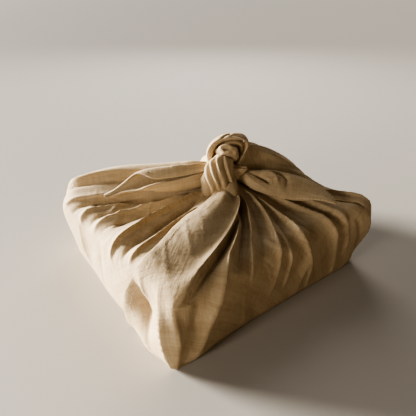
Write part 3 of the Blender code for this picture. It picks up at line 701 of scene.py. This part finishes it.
# hidden under the outer cloth: its left and its right corner, each folded over the top from its own
# side and turned back at the far one
innerFlaps = {"start": 60 * mm, "end": 326 * mm, "halfWidth": 92 * mm, "turnBack": 218 * mm,
              "heights": (38 * mm, 41 * mm), "backGap": 1.4 * mm, "backBlend": 4 * mm,
              "edgeRoom": 8 * mm, "waver": 0.3 * mm, "waverSeed": 23, "rows": 40, "columns": 16}


def makeInnerFlap(side, height):
    f = innerFlaps
    t = np.linspace(f["start"], f["end"] - 1 * mm, f["rows"])[:, None]
    across = np.linspace(-1, 1, f["columns"])[None, :] * np.minimum(f["halfWidth"], f["end"] - t)
    there = np.minimum(t, 2 * f["turnBack"] - t)
    x = side * (there - bundle["halfWidth"] + f["edgeRoom"] / 2) * np.ones_like(across)
    turned = smoothStep((t - f["turnBack"]) / f["backBlend"] + 0.5)
    level = height + f["backGap"] * turned * np.ones_like(across)
    level = level + f["waver"] * softWaves(x * 60, across * 60, f["waverSeed"])
    points = np.stack([x, across, level], axis=-1)
    faces = gridFaces(f["rows"], f["columns"], flip=side < 0)
    return asPart(points, faces, t + bundle["halfWidth"], across)


# and at each of the four corners the cloth between two sides, laid double: its fold starts at the foot
# and runs off at 45 degrees from the corner, which the other edge follows up and over towards the knot
foldedCorners = {"bearings": (42, 136, 222, 316), "leg": 290 * mm, "length": 165 * mm,
                 "depths": (9, 11.5), "layerGap": 1, "leastSpread": 30 * mm, "lowest": 1 * mm,
                 "rows": 36, "columns": 15}


def makeFoldedCorner(number):
    c = foldedCorners
    depth = c["depths"][number % 2]
    corner = c["bearings"][number]
    reach = planReach(np.radians(np.array(float(corner))))
    _, top = pathAlong(reach, 1.0)
    _, whole = pathAlong(reach, 2.0)
    fromFoot = np.linspace(1 * mm, c["length"], c["rows"])[:, None]
    path = whole - fromFoot
    share = np.where(path < top, path / top, 1 + (path - top) / (whole - top))
    width = np.minimum(fromFoot, c["leg"] - fromFoot)
    outwards = np.linspace(0, 1, c["columns"])
    across = np.concatenate([outwards, np.linspace(1, 0, c["columns"])])[None, :]
    layer = np.repeat([0.0, 1.0], c["columns"])[None, :]
    spread = np.maximum(fromAxis(plainSurface(np.full_like(share, corner), share)), c["leastSpread"])
    bearing = corner + np.degrees(across * width / spread)
    share = share * np.ones_like(across)
    points = (plainSurface(bearing, share)
              - surfaceNormal(bearing, share) * ((depth + layer * c["layerGap"]) * mm)[..., None])
    points[..., 2] = np.maximum(points[..., 2], c["lowest"])
    return asPart(points, gridFaces(c["rows"], 2 * c["columns"]), fromFoot, across * width)


innerParts = [makeInnerFlap(side, height) for side, height in zip((1, -1), innerFlaps["heights"])]
innerParts += [makeFoldedCorner(number) for number in range(4)]
print("hidden layers")

scene = bpy.context.scene


def placed(name, data):
    thing = bpy.data.objects.new(name, data)
    scene.collection.objects.link(thing)
    return thing


def meshObject(name, points, faces, uvs=None):
    mesh = bpy.data.meshes.new(name)
    mesh.from_pydata([tuple(p) for p in points], [], [tuple(f) for f in faces])
    if uvs is not None:
        layer = mesh.uv_layers.new(name="cloth")
        loops = np.zeros(len(mesh.loops), np.int32)
        mesh.loops.foreach_get("vertex_index", loops)
        layer.data.foreach_set("uv", np.asarray(uvs, np.float32)[loops].ravel())
    mesh.update()
    mesh.shade_smooth()
    return placed(name, mesh)


def joined(parts):
    points, faces, uvs = [], [], []
    for part in parts:
        base = sum(len(p) for p in points)
        points.append(np.asarray(part[0]))
        uvs.append(np.asarray(part[2]))
        faces += [tuple(int(i) + base for i in f) for f in part[1]]
    return np.concatenate(points), faces, np.concatenate(uvs)


# all of it is one cloth, so it goes into one object
allPoints, allFaces, allUvs = joined([mainPart, *knotParts, leftTailPart, rightTailPart, *innerParts])
cloth = meshObject("furoshikiCloth", allPoints, allFaces, allUvs)
clothArea = sum(polygon.area for polygon in cloth.data.polygons)
triangleCount = sum(len(f) - 2 for f in allFaces)
print("cloth", len(allPoints), "points", triangleCount, "triangles", round(clothArea, 4), "m2")


def linearColour(code):
    # sRGB hex to the linear values that the shaders use
    parts = [int(code[i:i + 2], 16) / 255 for i in (1, 3, 5)]
    return tuple(c / 12.92 if c <= 0.04045 else ((c + 0.055) / 1.055) ** 2.4 for c in parts) + (1.0,)


def addNode(tree, kind, links=None, **settings):
    # a setting that starts with in_ is the value of the input of that name or number
    node = tree.nodes.new(kind)
    for key, value in settings.items():
        if key.startswith("in_"):
            slotName = key[3:]
            node.inputs[int(slotName) if slotName.isdigit() else slotName].default_value = value
        else:
            setattr(node, key, value)
    for socket, source in (links or {}).items():
        tree.links.new(source, node.inputs[socket])
    return node


def newMaterial(name):
    material = bpy.data.materials.new(name)
    material.use_nodes = True
    tree = material.node_tree
    return material, tree, tree.nodes["Principled BSDF"]


# plain-woven cotton, soft and a little crumpled, with faint stripes in its own colour
cottonLook = {
    "colour": "#AE9777", "shade": "#98805F", "pale": "#C7B495",
    "threadPitch": 1.2 * mm,  # the real one is near 0.45 mm, which 416 pixels can't show
    "stripePitch": 20 * mm, "slubLength": 14 * mm, "slubWidth": 1.4 * mm, "toneSize": 90 * mm,
    "weaveBump": 0.015 * mm, "slubBump": 0.2 * mm, "crumpleBump": 0.5 * mm, "crumpleSize": 7 * mm,
    "shadeAmount": 0.55, "slubStart": 0.75, "slubAmount": 0.9, "stripeAmount": 0.22, "stripeEdge": 0.15,
    "roughness": 0.82, "specular": 0.28,
    "sheen": 0.22, "sheenRoughness": 0.45, "sheenColour": "#F1E2C8",  # loose fibres light up at the edges
}


def cottonMaterial():
    c = cottonLook
    material, tree, shader = newMaterial("wovenCotton")

    def maths(kind, a, b=None, **more):
        links = {0: a}
        if hasattr(b, "links"):
            links[1] = b
        elif b is not None:
            more["in_1"] = b
        return addNode(tree, "ShaderNodeMath", links, operation=kind, **more).outputs[0]

    def times(a, b):
        return maths("MULTIPLY", a, b)

    def noise(place, **more):
        return addNode(tree, "ShaderNodeTexNoise", {"Vector": place}, **more).outputs[0]

    def mixed(amount, base, other):
        node = addNode(tree, "ShaderNodeMix", {0: amount}, data_type="RGBA")
        for slot, colour in ((6, base), (7, other)):
            if hasattr(colour, "links"):
                tree.links.new(colour, node.inputs[slot])
            else:
                node.inputs[slot].default_value = linearColour(colour)
        return node.outputs[2]

    place = addNode(tree, "ShaderNodeUVMap", uv_map="cloth").outputs[0]
    parts = addNode(tree, "ShaderNodeSeparateXYZ", {0: place})
    warp, weft = parts.outputs[0], parts.outputs[1]
    # over and under of the threads: the cloth doesn't look like plaster close by
    turnsEach = math.pi / c["threadPitch"]
    over, under = (maths("SINE", times(thread, turnsEach)) for thread in (warp, weft))
    weave = times(over, under)

    def slubs(across, along, seed):
        # thicker stretches of thread, which break up the weave's evenness
        stretched = addNode(tree, "ShaderNodeCombineXYZ", {
            0: times(across, 1 / c["slubWidth"]), 1: times(along, 1 / c["slubLength"])}, in_2=seed)
        return noise(stretched.outputs[0], in_Scale=1.0, in_Detail=2.0)

    thick = maths("ADD", slubs(warp, weft, 3.0), slubs(weft, warp, 8.0))
    # small crumples from wear, finer than the modelled ones
    metres = addNode(tree, "ShaderNodeTexCoord").outputs["Object"]
    rumple = noise(metres, in_Scale=1 / c["crumpleSize"], in_Detail=3.0, in_Roughness=0.55)
    tone = noise(metres, in_Scale=1 / c["toneSize"], in_Detail=3.0)
    # faint stripes in the weave, which catch the light on the pale side
    wave = maths("SINE", times(warp, math.tau / c["stripePitch"]))
    stripe = addNode(tree, "ShaderNodeMapRange", {"Value": wave}, interpolation_type="SMOOTHSTEP",
                     in_1=-c["stripeEdge"], in_2=c["stripeEdge"], in_3=0.0, in_4=1.0).outputs[0]
    toned = mixed(times(tone, c["shadeAmount"]), c["colour"], c["shade"])
    thickest = maths("SUBTRACT", thick, c["slubStart"], use_clamp=True)
    threaded = mixed(times(thickest, c["slubAmount"]), toned, c["pale"])
    striped = mixed(times(stripe, c["stripeAmount"]), threaded, c["pale"])
    tree.links.new(striped, shader.inputs["Base Color"])
    for slot, value in (("Roughness", c["roughness"]), ("Specular IOR Level", c["specular"]),
                        ("Sheen Weight", c["sheen"]), ("Sheen Roughness", c["sheenRoughness"]),
                        ("Sheen Tint", linearColour(c["sheenColour"]))):
        shader.inputs[slot].default_value = value
    links = {}
    for height, depth in ((rumple, c["crumpleBump"]), (thick, c["slubBump"]), (weave, c["weaveBump"])):
        links["Height"] = height
        bump = addNode(tree, "ShaderNodeBump", links, in_Strength=1.0, in_Distance=depth)
        links["Normal"] = bump.outputs[0]
    tree.links.new(links["Normal"], shader.inputs["Normal"])
    return material


# sewing thread: paler than the cloth and a little smoother, so that the hems' stitches read
threadLook = {"colour": "#D9C4A0", "pale": "#F0E2C6", "twistScale": 900, "roughness": 0.6,
              "bumpStrength": 0.6, "bump": 0.1 * mm}


def threadMaterial():
    look = threadLook
    material, tree, shader = newMaterial("sewingThread")
    metres = addNode(tree, "ShaderNodeTexCoord").outputs["Object"]
    twist = addNode(tree, "ShaderNodeTexNoise", {"Vector": metres}, in_Scale=look["twistScale"],
                    in_Detail=1.0).outputs[0]
    blend = addNode(tree, "ShaderNodeMix", {0: twist}, data_type="RGBA",
                    in_6=linearColour(look["colour"]), in_7=linearColour(look["pale"]))
    tree.links.new(blend.outputs[2], shader.inputs["Base Color"])
    shader.inputs["Roughness"].default_value = look["roughness"]
    bump = addNode(tree, "ShaderNodeBump", {"Height": twist}, in_Strength=look["bumpStrength"],
                   in_Distance=look["bump"])
    tree.links.new(bump.outputs[0], shader.inputs["Normal"])
    return material


cloth.data.materials.append(cottonMaterial())
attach(cloth, "root")
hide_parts("furoshiki_cloth")
print("cotton")

# the stitches that hold the hems: short raised threads along each hem line
stitches = {"pitch": 3.4 * mm, "length": 2.3 * mm, "thickness": 0.3 * mm, "jitter": 0.12, "seed": 5,
            "lift": 0.1 * mm, "segments": 8, "rings": 6,
            # the sections that each hem's stitches run over, and where on the right tail in degrees
            "flapRows": slice(14, -7), "leftRows": slice(38, -7), "rightRows": slice(44, -3),
            "rightDegrees": (34, 150)}


def stitchTree(material):
    tree = bpy.data.node_groups.new("stitchRow", "GeometryNodeTree")
    for name, kind in (("Geometry", "Geometry"), ("Pitch", "Float"), ("Length", "Float"),
                       ("Thickness", "Float"), ("Jitter", "Float"), ("Seed", "Int")):
        tree.interface.new_socket(name, in_out="INPUT", socket_type="NodeSocket" + kind)
    tree.interface.new_socket("Geometry", in_out="OUTPUT", socket_type="NodeSocketGeometry")

    def add(kind, links=None, **settings):
        return addNode(tree, kind, links, **settings).outputs

    given = add("NodeGroupInput")
    curve = add("GeometryNodeMeshToCurve", {0: given["Geometry"]})[0]
    even = add("GeometryNodeResampleCurve", {"Curve": curve, "Length": given["Pitch"]}, mode="LENGTH")[0]
    tangent = add("GeometryNodeInputTangent")[0]
    facing = add("FunctionNodeAlignRotationToVector", {"Vector": tangent}, axis="X")[0]
    bead = add("GeometryNodeMeshUVSphere", in_Segments=stitches["segments"], in_Rings=stitches["rings"],
               in_Radius=0.5)["Mesh"]
    shape = add("ShaderNodeCombineXYZ",
                {0: given["Length"], 1: given["Thickness"], 2: given["Thickness"]})[0]
    least, most = (add("ShaderNodeMath", {1: given["Jitter"]}, operation=kind, in_0=1.0)[0]
                   for kind in ("SUBTRACT", "ADD"))
    dice = add("FunctionNodeRandomValue", {2: least, 3: most, "Seed": given["Seed"]},
               data_type="FLOAT")[1]
    size = add("ShaderNodeVectorMath", {0: shape, "Scale": dice}, operation="SCALE")[0]
    beads = add("GeometryNodeInstanceOnPoints",
                {"Points": even, "Instance": bead, "Rotation": facing, "Scale": size})[0]
    smooth = add("GeometryNodeSetShadeSmooth", {0: beads})[0]
    real = add("GeometryNodeRealizeInstances", {0: smooth})[0]
    finished = add("GeometryNodeSetMaterial", {0: real}, in_Material=material)[0]
    add("NodeGroupOutput", {0: finished})
    return tree


def makeStitches(lines, material):
    # every hem line is one row of joined points; the tree turns them into stitches
    points, edges = [], []
    for line in lines:
        edges += [(len(points) + k, len(points) + k + 1) for k in range(len(line) - 1)]
        points += [tuple(p) for p in line]
    mesh = bpy.data.meshes.new("hemLines")
    mesh.from_pydata(points, edges, [])
    guide = placed("hemLines", mesh)
    tree = stitchTree(material)
    modifier = guide.modifiers.new("stitches", "NODES")
    modifier.node_group = tree
    named = {item.name: item.identifier for item in tree.interface.items_tree if item.in_out == "INPUT"}
    for name in ("pitch", "length", "thickness", "jitter", "seed"):
        modifier[named[name.capitalize()]] = stitches[name]
    bpy.context.view_layer.update()
    evaluated = guide.evaluated_get(bpy.context.evaluated_depsgraph_get())
    finished = bpy.data.meshes.new_from_object(evaluated)
    bpy.data.objects.remove(guide)
    finished.name = "hemStitches"
    return placed("hemStitches", finished)


def hemLines():
    s = stitches
    lift = s["lift"]
    lines = [(flapHemLine + flapHemNormal * lift / 4)[s["flapRows"]]]
    # on the left tail a little in from both hems
    inset = leftTail["stitchColumn"]
    for column in (inset, leftTail["steps"] - 1 - inset):
        lines.append((leftTailSkin[:, column] + leftTailOut[:, column] * lift)[s["leftRows"]])
    # on the right tail along its upper and its lower edge
    outward = unit(rightTailSkin - rightTailSkin.mean(axis=1, keepdims=True))
    for degrees in s["rightDegrees"]:
        column = round(degrees / 360 * rightTail["sides"])
        lines.append((rightTailSkin[:, column] + outward[:, column] * lift)[s["rightRows"]])
    return lines


hemStitches = makeStitches(hemLines(), threadMaterial())
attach(hemStitches, "root")
print("stitches", len(hemStitches.data.polygons), "faces")

room = {
    "floor": "#BEB8AF", "floorRoughness": 0.7, "floorReach": 16,
    "world": "#EFE9E0", "worldStrength": 0.08, "lightsAim": (0, 0, 0.05),
    "cameraPlace": (-0.2279, -0.2894, 0.26), "cameraTurn": 37.45, "cameraDip": 28.68,
    "lensPixels": 404, "imagePixels": 416, "sensor": 36,
    # a low wide light from the left and a little behind, a small one from the left in front, a weaker
    # one from behind and a warm fill from the right: kind, place in view, power, colour and softness
    "lights": {
        "keyLight": ("SUN", (-1.2, 0.46, 0.22), 19, (1, 0.97, 0.92), {"angle": math.radians(20)}),
        "sideLight": ("AREA", (-0.95, -1, 0.38), 8, (1, 0.95, 0.88), {"size": 0.3}),
        "backLight": ("AREA", (0, 1.2, 0.95), 7.5, (1, 0.97, 0.93), {"size": 0.8}),
        "fillLight": ("AREA", (0.9, -1.1, 0.35), 2.2, (1, 0.74, 0.44), {"size": 1.2}),
    },
}


def inView(right, away, up):
    # a direction or place given as the camera's right, away and up
    t = math.radians(-room["cameraTurn"])
    x = math.cos(t) * right - math.sin(t) * away
    y = math.sin(t) * right + math.cos(t) * away
    return Vector((x, y, up))


far = room["floorReach"]
corners = [(-far, -far, 0), (far, -far, 0), (far, far, 0), (-far, far, 0)]
floor = meshObject("floor", corners, [(0, 1, 2, 3)])
# pale and matt: it shows the soft shadow and throws a little light back up
floorMaterial, _, floorShader = newMaterial("paleFloor")
floorShader.inputs["Base Color"].default_value = linearColour(room["floor"])
floorShader.inputs["Roughness"].default_value = room["floorRoughness"]
floor.data.materials.append(floorMaterial)

for name, (kind, place, power, colour, softness) in room["lights"].items():
    light = bpy.data.lights.new(name, kind)
    light.energy = power
    light.color = colour
    for setting, value in softness.items():
        setattr(light, setting, value)
    lamp = placed(name, light)
    lamp.location = inView(*place)
    aim = Vector(room["lightsAim"]) - inView(*place)
    lamp.rotation_euler = aim.to_track_quat("-Z", "Y").to_euler()

world = bpy.data.worlds.new("studio")
world.use_nodes = True
background = world.node_tree.nodes["Background"].inputs
background["Color"].default_value = linearColour(room["world"])
background["Strength"].default_value = room["worldStrength"]
scene.world = world
scene.view_settings.view_transform = "AgX"
scene.view_settings.look = "AgX - High Contrast"

cameraData = bpy.data.cameras.new("camera")
camera = placed("camera", cameraData)
cameraData.sensor_width = room["sensor"]
cameraData.lens = room["lensPixels"] / room["imagePixels"] * room["sensor"]
dip = math.radians(room["cameraDip"])
camera.location = room["cameraPlace"]
camera.rotation_euler = inView(0, math.cos(dip), -math.sin(dip)).to_track_quat("-Z", "Y").to_euler()
scene.camera = camera
print("light, floor and camera")
